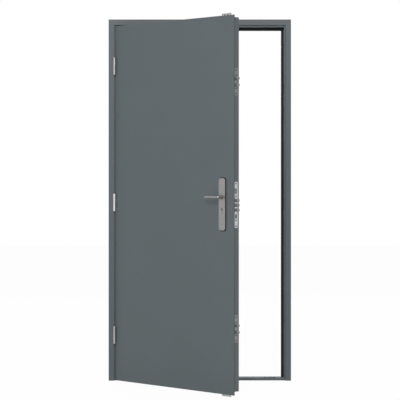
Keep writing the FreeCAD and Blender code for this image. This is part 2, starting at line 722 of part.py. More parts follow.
# Faceplates let in flush with the leaf's edges, bored for the bolts.
for name, (middle, length, heights) in STRIPS.items():
    strip = body(f"{name}_faceplate")
    drawn = rectangle(
        sketch(strip, "YZ_Plane", LOCK_EDGE),
        (f"{BOLT_Y} - strip_width / 2", f"{middle} - {length} / 2"),
        (f"{BOLT_Y} + strip_width / 2", f"{middle} + {length} / 2"),
    )
    pad(strip, drawn, "strip_thickness", back=True)
    drawn = sketch(strip, "YZ_Plane", LOCK_EDGE)
    for height in heights:
        circle(drawn, (BOLT_Y, height), "bolt_radius + bolt_fit")
    if name == "main":
        rectangle(
            drawn,
            (f"{BOLT_Y} - latch_width / 2 - bolt_fit", f"{LATCH_FOOT} - bolt_fit"),
            (f"{BOLT_Y} + latch_width / 2 + bolt_fit", f"{LATCH_TOP} + bolt_fit"),
        )
        rectangle(
            drawn,
            (f"{BOLT_Y} - window_width / 2", WINDOW_FOOT),
            (f"{BOLT_Y} + window_width / 2", f"{WINDOW_FOOT} + window_height"),
        )
    pocket(strip, drawn, "strip_thickness")
    keep(f"{name}_faceplate", strip, on_leaf=True)

for name, level, inwards in (("top", TRAY_TOP, True), ("foot", TRAY_FOOT, False)):
    strip = body(f"{name}_faceplate")
    drawn = rectangle(
        sketch(strip, "XY_Plane", level),
        (f"{ROD_X} - rod_strip / 2", f"{BOLT_Y} - strip_width / 2"),
        (f"{ROD_X} + rod_strip / 2", f"{BOLT_Y} + strip_width / 2"),
    )
    pad(strip, drawn, "strip_thickness", back=inwards)
    drawn = sketch(strip, "XY_Plane", level)
    for place in RODS:
        circle(drawn, (place, BOLT_Y), "bolt_radius + bolt_fit")
    pocket(strip, drawn, "strip_thickness", back=not inwards)
    keep(f"{name}_faceplate", strip, on_leaf=True)

# Bolts: the round bolts of one lock stand on a carriage bar inside the leaf.
BOLT_END = "bolt_radius - bolt_tip"
for name, (middle, length, heights) in STRIPS.items():
    start = f"({LOCK_EDGE} - bolt_stock)"
    run = "bolt_stock + bolt_throw - bolt_tip"
    end = f"({start} + {run})"
    shapes = [bar("bolt_radius", run, (start, BOLT_Y, height), "X") for height in heights]
    shapes += [tip("bolt_radius", BOLT_END, "bolt_tip", (end, BOLT_Y, height), "X") for height in heights]
    shapes.append(
        box(
            (f"({start} - carriage)", f"({BOLT_Y} - bolt_radius)", f"({heights[0]} - bolt_radius)"),
            (start, f"({BOLT_Y} + bolt_radius)", f"({heights[-1]} + bolt_radius)"),
        )
    )
    keep(f"{name}_bolts", fuse(shapes), on_leaf=True)

for name, foot, throw, end, plate in (
    (
        "top",
        f"({TRAY_TOP} - bolt_stock)",
        "top_throw",
        f"({TRAY_TOP} + top_throw - bolt_tip)",
        f"({TRAY_TOP} - bolt_stock - carriage)",
    ),
    (
        "foot",
        f"({TRAY_FOOT} - foot_throw + bolt_tip)",
        "foot_throw",
        f"({TRAY_FOOT} - foot_throw + bolt_tip)",
        f"({TRAY_FOOT} + bolt_stock)",
    ),
):
    run = f"bolt_stock + {throw} - bolt_tip"
    down = name == "foot"
    shapes = [bar("bolt_radius", run, (place, BOLT_Y, foot), "Z") for place in RODS]
    shapes += [tip("bolt_radius", BOLT_END, "bolt_tip", (place, BOLT_Y, end), "Z", down) for place in RODS]
    shapes.append(
        box(
            (f"({RODS[0]} - bolt_radius)", f"({BOLT_Y} - bolt_radius)", plate),
            (f"({RODS[-1]} + bolt_radius)", f"({BOLT_Y} + bolt_radius)", f"({plate} + carriage)"),
        )
    )
    keep(f"{name}_bolts", fuse(shapes), on_leaf=True)

# The latch is bevelled on the side that meets the frame first.
latch = body("latch_bolt")
drawn = polygon(
    sketch(latch, "XY_Plane", LATCH_FOOT),
    [
        (f"{LOCK_EDGE} - bolt_stock", f"{BOLT_Y} - latch_width / 2"),
        (f"{LOCK_EDGE} + latch_throw", f"{BOLT_Y} - latch_width / 2"),
        (f"{LOCK_EDGE} + latch_throw", f"{BOLT_Y} - latch_width / 2 + latch_nose"),
        (LOCK_EDGE, f"{BOLT_Y} + latch_width / 2"),
        (f"{LOCK_EDGE} - bolt_stock", f"{BOLT_Y} + latch_width / 2"),
    ],
)
pad(latch, drawn, "latch_height")
keep("latch_bolt", latch, on_leaf=True)


# Handle plates with rounded corners and a bevelled rim, one on each face of the leaf.
def handle_plate(name, face_y, outwards):
    owner = body(name)
    low = (f"{LOCK_X} - handle_width / 2", "spindle_height - handle_below")
    high = (f"{LOCK_X} + handle_width / 2", "spindle_height + handle_above")
    drawn = rectangle(sketch(owner, "XZ_Plane", f"0 - {face_y}"), low, high)
    pad(owner, drawn, "handle_thick", back=outwards)
    fillet(owner, "handle_corner", (Y_AXIS, [low, high, (low[0], high[1]), (high[0], low[1])]))
    reach = number(f"{face_y} + handle_thick" if outwards else f"{face_y} - handle_thick")
    rim = next(
        f"Face{i}"
        for i, face in enumerate(owner.Tip.Shape.Faces, start=1)
        if abs(face.CenterOfMass.y - reach) < number("leaf_sheet") / 2
    )
    base = owner.Tip
    bevel = owner.newObject("PartDesign::Chamfer", "bevel")
    bevel.Base = (base, [rim])
    bind(bevel, Size="handle_bevel")
    doc.recompute()
    near_y = face_y if outwards else f"({face_y} - handle_thick)"
    lock_holes(owner, near_y, "handle_thick", "lever_radius + lever_fit")
    keep(name, owner, on_leaf=True)


handle_plate("outside_handle_plate", FRONT, False)
handle_plate("inside_handle_plate", LEAF_BACK, True)


# Levers: a round bar that leaves the plate, bends once and runs back over the leaf.
def lever(name, face_y, way):
    neck = "(lever_standoff - lever_bend)"
    bend_y = f"({face_y} + {way} * {neck})"
    bar_y = f"({face_y} + {way} * lever_standoff)"
    neck_start = face_y if way > 0 else bend_y
    bend = doc.addObject("Part::Torus", "bend")
    bend.Angle3 = QUARTER
    turn = FreeCAD.Rotation(Z_AXIS, 0 if way > 0 else -QUARTER)
    bend.Placement = FreeCAD.Placement(FreeCAD.Vector(), turn)
    bind(bend, Radius1="lever_bend", Radius2="lever_radius")
    bind(bend, Placement__Base__x=f"{LOCK_X} - lever_bend", Placement__Base__y=bend_y)
    bind(bend, Placement__Base__z="spindle_height")
    end = doc.addObject("Part::Sphere", "end")
    bind(end, Radius="lever_radius", Placement__Base__x=f"{LOCK_X} - lever_reach + lever_radius")
    bind(end, Placement__Base__y=bar_y, Placement__Base__z="spindle_height")
    start = (f"({LOCK_X} - lever_reach + lever_radius)", bar_y, "spindle_height")
    run = "lever_reach - lever_radius - lever_bend"
    shapes = [
        bar("lever_radius", neck, (LOCK_X, neck_start, "spindle_height"), "Y"),
        bend,
        bar("lever_radius", run, start, "X"),
        end,
    ]
    keep(name, fuse(shapes), on_leaf=True)


lever("outside_lever", FRONT, -1)
lever("inside_lever", LEAF_BACK, 1)
spindle = body("spindle")
drawn = rectangle(
    sketch(spindle, "XZ_Plane", f"0 - {FRONT}"),
    (f"{LOCK_X} - spindle_side / 2", "spindle_height - spindle_side / 2"),
    (f"{LOCK_X} + spindle_side / 2", "spindle_height + spindle_side / 2"),
)
pad(spindle, drawn, "leaf_thickness", back=True)
keep("spindle", spindle, on_leaf=True)

# The key cylinder: a round barrel over a narrow web, with a key slot at each end.
start_y = f"({FRONT} - handle_thick - barrel_proud)"
end_y = f"({LEAF_BACK} + handle_thick + barrel_proud)"
reach = f"{end_y} - {start_y}"
web_z = f"({CYLINDER_Z} - barrel_drop)"
solid = fuse(
    [
        bar("barrel_radius", reach, (LOCK_X, start_y, CYLINDER_Z), "Y"),
        box((f"({LOCK_X} - barrel_web)", start_y, web_z), (f"({LOCK_X} + barrel_web)", end_y, CYLINDER_Z)),
        bar("barrel_web", reach, (LOCK_X, start_y, web_z), "Y"),
    ]
)
slots = [
    box(
        (f"({LOCK_X} - key_slot / 2)", slot_y, f"({CYLINDER_Z} - key_height / 2)"),
        (f"({LOCK_X} + key_slot / 2)", f"({slot_y} + key_depth)", f"({CYLINDER_Z} + key_height / 2)"),
    )
    for slot_y in (start_y, f"({end_y} - key_depth)")
]
keep("key_cylinder", cut(solid, fuse(slots)), on_leaf=True)

doc.recompute()
for thing in doc.Objects:
    if "Invalid" in thing.State or "Error" in thing.State:
        raise RuntimeError(f"{thing.Name} failed: {thing.State}")
for name, piece in PARTS.items():
    if piece.Shape.isNull() or not piece.Shape.isValid():
        raise RuntimeError(f"{name} has no valid shape")
os.makedirs("parts", exist_ok=True)
for name, piece in PARTS.items():
    piece.Shape.exportStep(f"parts/{name}.step")
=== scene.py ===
import math

import bmesh
import bpy
from mathutils import Matrix, Vector


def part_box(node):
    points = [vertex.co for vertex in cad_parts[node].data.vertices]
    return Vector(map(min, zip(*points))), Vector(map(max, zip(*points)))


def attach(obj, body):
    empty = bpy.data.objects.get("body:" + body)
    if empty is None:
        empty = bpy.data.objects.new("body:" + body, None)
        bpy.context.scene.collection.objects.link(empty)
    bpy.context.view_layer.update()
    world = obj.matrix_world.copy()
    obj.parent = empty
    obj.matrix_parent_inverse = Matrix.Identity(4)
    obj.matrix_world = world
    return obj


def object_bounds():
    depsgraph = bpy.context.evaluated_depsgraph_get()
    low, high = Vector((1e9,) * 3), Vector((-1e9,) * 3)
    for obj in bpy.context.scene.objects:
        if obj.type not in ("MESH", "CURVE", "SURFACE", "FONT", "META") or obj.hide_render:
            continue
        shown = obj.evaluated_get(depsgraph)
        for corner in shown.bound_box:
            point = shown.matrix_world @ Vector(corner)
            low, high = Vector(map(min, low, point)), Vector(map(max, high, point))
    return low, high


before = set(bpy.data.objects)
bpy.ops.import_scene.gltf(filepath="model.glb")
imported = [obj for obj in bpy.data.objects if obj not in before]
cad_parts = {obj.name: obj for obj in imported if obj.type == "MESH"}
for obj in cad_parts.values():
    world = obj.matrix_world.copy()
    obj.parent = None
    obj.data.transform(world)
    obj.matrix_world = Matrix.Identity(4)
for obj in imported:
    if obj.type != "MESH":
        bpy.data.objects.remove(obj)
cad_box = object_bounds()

# The frame: two jambs and a head folded from steel sheet, and a flat tube welded across their
# feet as threshold. Grey powder coat, with a fine orange peel and a soft sheen, and a duller
# coat on the threshold, painted a little lighter than the frame's as painted light, to make up
# for the shade the open leaf casts on it.
FRAME_GREY = (0.118, 0.139, 0.151)
# painted light: the threshold's grey is lighter than the frame's, to make up for the shade from the
# open leaf
SILL_LIT_GREY = (0.15, 0.172, 0.183)
COAT_ROUGH = 0.4
SILL_ROUGH = 0.66
COAT_ROUGH_SPAN = 0.1
COAT_TINT = 0.03
PEEL_SCALE = 620
PEEL_STRENGTH = 0.3
PEEL_DEPTH = 0.0002
CLOUD_SCALE = 4
NOISE_LOW = 0.3
NOISE_HIGH = 0.7


def new_material(name):
    material = bpy.data.materials.new(name)
    material.use_nodes = True
    return material, material.node_tree.nodes, material.node_tree.links


def object_noise(nodes, links, scale, detail, stretch=(1, 1, 1), turn=0.0):
    place = nodes.new("ShaderNodeTexCoord")
    mapping = nodes.new("ShaderNodeMapping")
    mapping.inputs["Scale"].default_value = stretch
    turned = nodes.new("ShaderNodeMapping")
    turned.inputs["Rotation"].default_value = (0, 0, turn)
    noise = nodes.new("ShaderNodeTexNoise")
    noise.inputs["Scale"].default_value = scale
    noise.inputs["Detail"].default_value = detail
    links.new(place.outputs["Object"], turned.inputs["Vector"])
    links.new(turned.outputs["Vector"], mapping.inputs["Vector"])
    links.new(mapping.outputs["Vector"], noise.inputs["Vector"])
    return noise.outputs["Fac"]


def spread(nodes, links, value, low, high):
    ranged = nodes.new("ShaderNodeMapRange")
    ranged.inputs["From Min"].default_value = NOISE_LOW
    ranged.inputs["From Max"].default_value = NOISE_HIGH
    ranged.inputs["To Min"].default_value = low
    ranged.inputs["To Max"].default_value = high
    links.new(value, ranged.inputs["Value"])
    return ranged.outputs["Result"]


def tinted(nodes, links, value, colour, change):
    ramp = nodes.new("ShaderNodeValToRGB")
    ramp.color_ramp.elements[0].position = NOISE_LOW
    ramp.color_ramp.elements[1].position = NOISE_HIGH
    ramp.color_ramp.elements[0].color = [c * (1 - change) for c in colour] + [1]
    ramp.color_ramp.elements[1].color = [c * (1 + change) for c in colour] + [1]
    links.new(value, ramp.inputs["Fac"])
    return ramp.outputs["Color"]


def bumped(nodes, links, value, strength, distance):
    bump = nodes.new("ShaderNodeBump")
    bump.inputs["Strength"].default_value = strength
    bump.inputs["Distance"].default_value = distance
    links.new(value, bump.inputs["Height"])
    return bump.outputs["Normal"]


def powder_coat(name, colour, rough):
    material, nodes, links = new_material(name)
    shader = nodes["Principled BSDF"]
    peel = object_noise(nodes, links, PEEL_SCALE, detail=2)
    cloud = object_noise(nodes, links, CLOUD_SCALE, detail=3)
    links.new(tinted(nodes, links, cloud, colour, COAT_TINT), shader.inputs["Base Color"])
    roughness = spread(nodes, links, peel, rough, rough + COAT_ROUGH_SPAN)
    links.new(roughness, shader.inputs["Roughness"])
    links.new(bumped(nodes, links, peel, PEEL_STRENGTH, PEEL_DEPTH), shader.inputs["Normal"])
    return material


def dress(names, material):
    for name in names:
        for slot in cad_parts[name].material_slots:
            slot.material = material


frame_paint = powder_coat("frame_paint", FRAME_GREY, COAT_ROUGH)
dress(["hinge_jamb", "lock_jamb", "frame_head"], frame_paint)
dress(["threshold"], powder_coat("threshold_lit_paint", SILL_LIT_GREY, SILL_ROUGH))

# The seals: strips of black rubber along the stops, extruded and pressed into place, where the
# shut leaf squeezes them. They are dull, with a fine grain.
SEAL_BLACK = (0.006, 0.006, 0.007)
RUBBER_SCALE = 300
RUBBER_TINT = 0.25
RUBBER_ROUGH = (0.6, 0.75)
RUBBER_STRENGTH = 0.2
RUBBER_DEPTH = 0.0002


def rubber(name, colour):
    material, nodes, links = new_material(name)
    shader = nodes["Principled BSDF"]
    grain = object_noise(nodes, links, RUBBER_SCALE, detail=4)
    links.new(tinted(nodes, links, grain, colour, RUBBER_TINT), shader.inputs["Base Color"])
    links.new(spread(nodes, links, grain, *RUBBER_ROUGH), shader.inputs["Roughness"])
    links.new(bumped(nodes, links, grain, RUBBER_STRENGTH, RUBBER_DEPTH), shader.inputs["Normal"])
    return material


dress(["hinge_jamb_seal", "lock_jamb_seal", "head_seal"], rubber("seal_rubber", SEAL_BLACK))

# The leaf: an outer skin and an inner tray of folded steel sheet, hemmed together at the lip
# that runs round the outer face, and powder-coated in much the same grey as the frame, painted a
# touch lighter as painted light, to make up for the lesser light on the turned leaf.
# painted light: the leaf's grey is a touch lighter than the frame's, to make up for the lesser light
# on the turned leaf
LEAF_LIT_GREY = (0.12, 0.147, 0.158)

leaf_paint = powder_coat("leaf_paint", LEAF_LIT_GREY, COAT_ROUGH)
dress(["leaf_outer_skin", "leaf_inner_tray"], leaf_paint)

# The butt hinges: satin steel plates rolled into knuckles round a tipped pin, each plate
# held by four countersunk screws with a cross recess. The middle hinge's steel is painted much
# brighter than the other two, a painted highlight.
HINGE_STEEL = (0.54, 0.54, 0.54)
HINGE_ROUGH = 0.34
# painted highlight: the middle hinge's steel is much brighter than the other two hinges'
MIDDLE_LIT_STEEL = (0.95, 0.95, 0.96)
MIDDLE_ROUGH = 0.3
UPRIGHT = (900, 900, 14)
ROUGH_SPAN = 0.06
BRUSH_STRENGTH = 0.12
BRUSH_DEPTH = 0.0001
STAIN_SCALE = 60
STAIN_TINT = 0.06
HINGE_SCREW_SPOTS = ((-0.034, -0.010), (-0.013, -0.021), (0.013, -0.010), (0.034, -0.021))
HINGE_PLATE_GAP = 0.004
SCREW_STEEL = (0.5, 0.5, 0.5)
SCREW_ROUGH = 0.3
SCREW_GRAIN = (200, 200, 200)
SCREW_SIDES = 24
SCREW_RIM = 0.88
SCREW_SEED = 7
HINGE_SCREW_RADIUS = 0.004
SCREW_HEIGHT = 0.0007
CROSS_WIDTH = 0.22
CROSS_LENGTH = 1.2
OPEN_ANGLE = math.radians(47)


def box_middle(name):
    low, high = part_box(name)
    return (Vector(low) + Vector(high)) / 2


pin = Matrix.Translation(box_middle("middle_hinge_pin"))
swing = pin @ Matrix.Rotation(-OPEN_ANGLE, 4, "Z") @ pin.inverted()
outward = swing.to_3x3()


def shut_middle(name):
    # The middle of a piece on the leaf, where it is when the door is shut.
    return swing.inverted() @ box_middle(name)


def brushed(name, colour, rough, stretch, turn=0.0, metal=1.0):
    material, nodes, links = new_material(name)
    shader = nodes["Principled BSDF"]
    shader.inputs["Metallic"].default_value = metal
    lines = object_noise(nodes, links, 1, detail=3, stretch=stretch, turn=turn)
    stain = object_noise(nodes, links, STAIN_SCALE, detail=2)
    links.new(tinted(nodes, links, stain, colour, STAIN_TINT), shader.inputs["Base Color"])
    roughness = spread(nodes, links, lines, rough - ROUGH_SPAN, rough + ROUGH_SPAN)
    links.new(roughness, shader.inputs["Roughness"])
    links.new(bumped(nodes, links, lines, BRUSH_STRENGTH, BRUSH_DEPTH), shader.inputs["Normal"])
    return material


def screw_tree():
    tree = bpy.data.node_groups.new("countersunk_screws", "GeometryNodeTree")
    face = tree.interface
    face.new_socket("Spots", in_out="INPUT", socket_type="NodeSocketGeometry")
    face.new_socket("Head radius", in_out="INPUT", socket_type="NodeSocketFloat")
    face.new_socket("Head height", in_out="INPUT", socket_type="NodeSocketFloat")
    face.new_socket("Steel", in_out="INPUT", socket_type="NodeSocketMaterial")
    face.new_socket("Screws", in_out="OUTPUT", socket_type="NodeSocketGeometry")
    nodes = tree.nodes
    links = tree.links
    given = nodes.new("NodeGroupInput")
    rim = nodes.new("ShaderNodeMath")
    rim.operation = "MULTIPLY"
    rim.inputs[1].default_value = SCREW_RIM
    links.new(given.outputs["Head radius"], rim.inputs[0])
    head = nodes.new("GeometryNodeMeshCone")
    head.inputs["Vertices"].default_value = SCREW_SIDES
    links.new(rim.outputs[0], head.inputs["Radius Top"])
    links.new(given.outputs["Head radius"], head.inputs["Radius Bottom"])
    links.new(given.outputs["Head height"], head.inputs["Depth"])
    made = head.outputs["Mesh"]
    for across, along in ((CROSS_WIDTH, CROSS_LENGTH), (CROSS_LENGTH, CROSS_WIDTH)):
        sides = nodes.new("ShaderNodeCombineXYZ")
        for axis, share in (("X", across), ("Y", along)):
            size = nodes.new("ShaderNodeMath")
            size.operation = "MULTIPLY"
            size.inputs[1].default_value = share
            links.new(given.outputs["Head radius"], size.inputs[0])
            links.new(size.outputs[0], sides.inputs[axis])
        links.new(given.outputs["Head height"], sides.inputs["Z"])
        blade = nodes.new("GeometryNodeMeshCube")
        links.new(sides.outputs[0], blade.inputs["Size"])
        raised = nodes.new("GeometryNodeTransform")
        lift = nodes.new("ShaderNodeCombineXYZ")
        links.new(given.outputs["Head height"], lift.inputs["Z"])
        links.new(blade.outputs["Mesh"], raised.inputs["Geometry"])
        links.new(lift.outputs[0], raised.inputs["Translation"])
        recess = nodes.new("GeometryNodeMeshBoolean")
        recess.operation = "DIFFERENCE"
        recess.solver = "EXACT"
        links.new(made, recess.inputs["Mesh 1"])
        links.new(raised.outputs["Geometry"], recess.inputs["Mesh 2"])
        made = recess.outputs["Mesh"]
    facing = nodes.new("GeometryNodeInputNamedAttribute")
    facing.data_type = "FLOAT_VECTOR"
    facing.inputs["Name"].default_value = "facing"
    turn = nodes.new("FunctionNodeAlignRotationToVector")
    turn.axis = "Z"
    links.new(facing.outputs["Attribute"], turn.inputs["Vector"])
    any_angle = nodes.new("FunctionNodeRandomValue")
    any_angle.data_type = "FLOAT"
    any_angle.inputs["Max"].default_value = math.pi
    any_angle.inputs["Seed"].default_value = SCREW_SEED
    spin = nodes.new("FunctionNodeAxisAngleToRotation")
    spin.inputs["Axis"].default_value = (0, 0, 1)
    links.new(any_angle.outputs["Value"], spin.inputs["Angle"])
    driven = nodes.new("FunctionNodeRotateRotation")
    driven.rotation_space = "LOCAL"
    links.new(turn.outputs["Rotation"], driven.inputs["Rotation"])
    links.new(spin.outputs["Rotation"], driven.inputs["Rotate By"])
    placed = nodes.new("GeometryNodeInstanceOnPoints")
    links.new(given.outputs["Spots"], placed.inputs["Points"])
    links.new(made, placed.inputs["Instance"])
    links.new(driven.outputs["Rotation"], placed.inputs["Rotation"])
    real = nodes.new("GeometryNodeRealizeInstances")
    links.new(placed.outputs["Instances"], real.inputs["Geometry"])
    steel = nodes.new("GeometryNodeSetMaterial")
    links.new(real.outputs["Geometry"], steel.inputs["Geometry"])
    links.new(given.outputs["Steel"], steel.inputs["Material"])
    taken = nodes.new("NodeGroupOutput")
    links.new(steel.outputs["Geometry"], taken.inputs["Screws"])
    return tree


def screws(name, spots, radius, height, material, body):
    mesh = bpy.data.meshes.new(name + "_spots")
    mesh.from_pydata([place for place, way in spots], [], [])
    facing = mesh.attributes.new("facing", "FLOAT_VECTOR", "POINT")
    for row, (place, way) in zip(facing.data, spots):
        row.vector = way
    dots = bpy.data.objects.new(name + "_spots", mesh)
    bpy.context.scene.collection.objects.link(dots)
    modifier = dots.modifiers.new("screws", "NODES")
    modifier.node_group = SCREW_TREE
    sockets = {item.name: item.identifier for item in SCREW_TREE.interface.items_tree}
    modifier[sockets["Head radius"]] = radius
    modifier[sockets["Head height"]] = height
    modifier[sockets["Steel"]] = material
    ready = dots.evaluated_get(bpy.context.evaluated_depsgraph_get())
    heads = bpy.data.objects.new(name, bpy.data.meshes.new_from_object(ready))
    bpy.context.scene.collection.objects.link(heads)
    bpy.data.objects.remove(dots)
    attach(heads, body)


hinge_steel = brushed("hinge_steel", HINGE_STEEL, HINGE_ROUGH, UPRIGHT)
middle_lit_steel = brushed("middle_hinge_lit_steel", MIDDLE_LIT_STEEL, MIDDLE_ROUGH, UPRIGHT)
for level, steel in (("upper", hinge_steel), ("middle", middle_lit_steel), ("lower", hinge_steel)):
    dress([f"{level}_hinge_{kind}" for kind in ("frame_plate", "leaf_plate", "pin")], steel)

SCREW_TREE = screw_tree()
screw_steel = brushed("screw_steel", SCREW_STEEL, SCREW_ROUGH, SCREW_GRAIN)
frame_plate_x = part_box("middle_hinge_frame_plate")[1][0]
leaf_plate_x = frame_plate_x + HINGE_PLATE_GAP
frame_spots = []
leaf_spots = []
for name in ("upper", "middle", "lower"):
    level = box_middle(f"{name}_hinge_frame_plate").z
    for rise, depth in HINGE_SCREW_SPOTS:
        frame_spots.append(((frame_plate_x, depth, level + rise), (1, 0, 0)))
        spot = swing @ Vector((leaf_plate_x, depth, level + rise))
        leaf_spots.append((spot, outward @ Vector((-1, 0, 0))))
for name, spots, body in (
    ("frame_hinge_screws", frame_spots, "frame"),
    ("leaf_hinge_screws", leaf_spots, "leaf"),
):
    screws(name, spots, HINGE_SCREW_RADIUS, SCREW_HEIGHT, screw_steel, body)

# The lock's faceplates: bright nickelled steel on the main lock, dull zinc on the others,
# let in flush with the leaf's edges and held by countersunk screws.
MAIN_NICKEL = (0.74, 0.75, 0.77)
MAIN_ROUGH = 0.28
ZINC = (0.325, 0.33, 0.335)
ZINC_ROUGH = 0.42
STRIP_THICKNESS = 0.003
STRIP_SCREWS = {
    "main_faceplate": (-0.111, -0.08, 0.045, 0.111),
    "upper_faceplate": (-0.061, -0.034, 0.034, 0.061),
    "lower_faceplate": (-0.061, -0.034, 0.034, 0.061),
}
ROD_SCREWS = (-0.039, 0.039)
BLACKED_STEEL = (0.09, 0.09, 0.095)
BLACKED_ROUGH = 0.4
STRIP_SCREW_RADIUS = 0.0044

dress(["main_faceplate"], brushed("lock_steel", MAIN_NICKEL, MAIN_ROUGH, UPRIGHT))
zinc_steel = brushed("zinc_steel", ZINC, ZINC_ROUGH, UPRIGHT)
dress(["upper_faceplate", "lower_faceplate", "top_faceplate", "foot_faceplate", "spindle"], zinc_steel)

spots = []
for name, steps in STRIP_SCREWS.items():
    face = shut_middle(name) + Vector((STRIP_THICKNESS / 2, 0, 0))
    way = outward @ Vector((1, 0, 0))
    spots += [(swing @ (face + Vector((0, 0, step))), way) for step in steps]
for name, way in (("top_faceplate", 1), ("foot_faceplate", -1)):
    face = shut_middle(name) + Vector((0, 0, way * STRIP_THICKNESS / 2))
    spots += [(swing @ (face + Vector((step, 0, 0))), (0, 0, way)) for step in ROD_SCREWS]
blacked_steel = brushed("blacked_screw_steel", BLACKED_STEEL, BLACKED_ROUGH, SCREW_GRAIN)
screws("faceplate_screws", spots, STRIP_SCREW_RADIUS, SCREW_HEIGHT, blacked_steel, "leaf")

# The bolts: bars of steel turned to fine rings, which slide out of the faceplates, and a latch
# milled to a slope. The side bolts are phosphated to a dull grey, and the foot bolts are painted
# brighter than the top bolts, a painted highlight that makes up for the shade under the leaf.
BOLT_STEEL = (0.31, 0.308, 0.305)
BOLT_METAL = 0.3
BOLT_ROUGH = 0.55
LATCH_STEEL = (0.72, 0.72, 0.73)
LATCH_ROUGH = 0.38
ROD_STEEL = (0.47, 0.465, 0.46)
# painted highlight: the foot bolts are brighter than the top bolts, to make up for the shade under the
# leaf
FOOT_LIT_STEEL = (0.66, 0.66, 0.655)
ROD_ROUGH = 0.5
RINGS_ACROSS = (1600, 30, 30)
RINGS_UP = (30, 30, 1600)

side_steel = brushed("bolt_steel", BOLT_STEEL, BOLT_ROUGH, RINGS_ACROSS, OPEN_ANGLE, BOLT_METAL)
dress(["main_bolts", "upper_bolts", "lower_bolts"], side_steel)
latch_steel = brushed("latch_steel", LATCH_STEEL, LATCH_ROUGH, RINGS_ACROSS, OPEN_ANGLE)
dress(["latch_bolt"], latch_steel)
dress(["top_bolts"], brushed("rod_steel", ROD_STEEL, ROD_ROUGH, RINGS_UP))
dress(["foot_bolts"], brushed("foot_lit_steel", FOOT_LIT_STEEL, ROD_ROUGH, RINGS_UP))

# The handles: satin stainless covers whose bevelled rim and sides are painted dark as painted
# shade, seated on a thin black rubber gasket whose lip, wider at the ends, stands in partly for
# the shade round the plate, with levers bent from round bar that turn in a nylon bush, its dark
# tone partly painted shade at the lever's neck. Two screws through the inside plate hold the
# pair together.
HANDLE_STEEL = (0.345, 0.342, 0.337)
HANDLE_ROUGH = 0.36
LEVER_STEEL = (0.31, 0.31, 0.31)
LEVER_ROUGH = 0.3
LEVER_LINES = (20, 900, 900)
# painted shade: the dark colour on the plates' bevelled rim and sides
RIM_SHADE_DARK = (0.022, 0.024, 0.025)
RIM_SHADE_SCALE = 500
RIM_SHADE_TINT = 0.2
RIM_SHADE_ROUGH = (0.5, 0.65)
FACE_SQUARENESS = 0.9
LEAF_FACE = 0.024
PLATE_FACE = 0.0305
PLATE_SIZE = (0.05, 0.275)
PLATE_CORNER = 0.015
CORNER_STEPS = 12
HANDLE_SCREWS = (-0.1195, 0.1195)
HANDLE_SCREW_RADIUS = 0.0045
HANDLE_SCREW_HEIGHT = 0.0009
# partly painted shade: the bush's dark tone also stands in for the shade at the lever's neck
BUSH_NYLON_SHADE = (0.23, 0.17, 0.155)
BUSH_INNER = 0.0079
BUSH_OUTER = 0.0115
BUSH_ROUNDING = 0.0006
BUSH_RISE = 0.0009
BUSH_SHOULDER = 0.4
BUSH_ROOT = -0.001
ROUND_STEPS = 48
ROUND_ANGLES = [math.tau * step / ROUND_STEPS for step in range(ROUND_STEPS)]
# partly painted shade: the gasket's black lip, wider at the ends, also stands in for the shade round
# the plate
GASKET_SHADE_BLACK = (0.012, 0.012, 0.013)
GASKET_SIDE = 0.0008
GASKET_END_SHADE = 0.0034
GASKET_THICK = 0.0014
GASKET_CHAMFER = 0.0004
GASKET_UNDER = 0.002
GASKET_ROOT = -0.0002


def capped_plate(name, colour, dark, rough):
    # Satin on the face, and painted shade on the bevelled rim and the sides that stand square to the
    # leaf.
    material = brushed(name, colour, rough, UPRIGHT)
    nodes = material.node_tree.nodes
    links = material.node_tree.links
    cap = nodes["Principled BSDF"]
    # painted shade for the bevelled rim and the square sides
    rim_shade = nodes.new("ShaderNodeBsdfPrincipled")
    grain = object_noise(nodes, links, RIM_SHADE_SCALE, detail=3)
    links.new(tinted(nodes, links, grain, dark, RIM_SHADE_TINT), rim_shade.inputs["Base Color"])
    links.new(spread(nodes, links, grain, *RIM_SHADE_ROUGH), rim_shade.inputs["Roughness"])
    surface = nodes.new("ShaderNodeNewGeometry")
    slope = nodes.new("ShaderNodeVectorMath")
    slope.operation = "DOT_PRODUCT"
    slope.inputs[1].default_value = outward @ Vector((0, 1, 0))
    on_piece = nodes.new("ShaderNodeVectorTransform")
    on_piece.vector_type = "NORMAL"
    on_piece.convert_from = "WORLD"
    on_piece.convert_to = "OBJECT"
    links.new(surface.outputs["True Normal"], on_piece.inputs["Vector"])
    links.new(on_piece.outputs["Vector"], slope.inputs[0])
    size = nodes.new("ShaderNodeMath")
    size.operation = "ABSOLUTE"
    links.new(slope.outputs["Value"], size.inputs[0])
    square = nodes.new("ShaderNodeMath")
    square.operation = "LESS_THAN"
    square.inputs[1].default_value = FACE_SQUARENESS
    links.new(size.outputs[0], square.inputs[0])
    mix = nodes.new("ShaderNodeMixShader")
    links.new(square.outputs[0], mix.inputs["Fac"])
    links.new(cap.outputs["BSDF"], mix.inputs[1])
    links.new(rim_shade.outputs["BSDF"], mix.inputs[2])
    links.new(mix.outputs["Shader"], nodes["Material Output"].inputs["Surface"])
    return material


def rounded_outline(width, height, corner):
    # Points round a plate with rounded corners, seen from its face.
    points = []
    for quarter, (right, up) in enumerate(((1, 1), (-1, 1), (-1, -1), (1, -1))):
        for step in range(CORNER_STEPS + 1):
            angle = (quarter + step / CORNER_STEPS) * math.pi / 2
            across = right * (width / 2 - corner) + corner * math.cos(angle)
            points.append((across, up * (height / 2 - corner) + corner * math.sin(angle)))
    return points


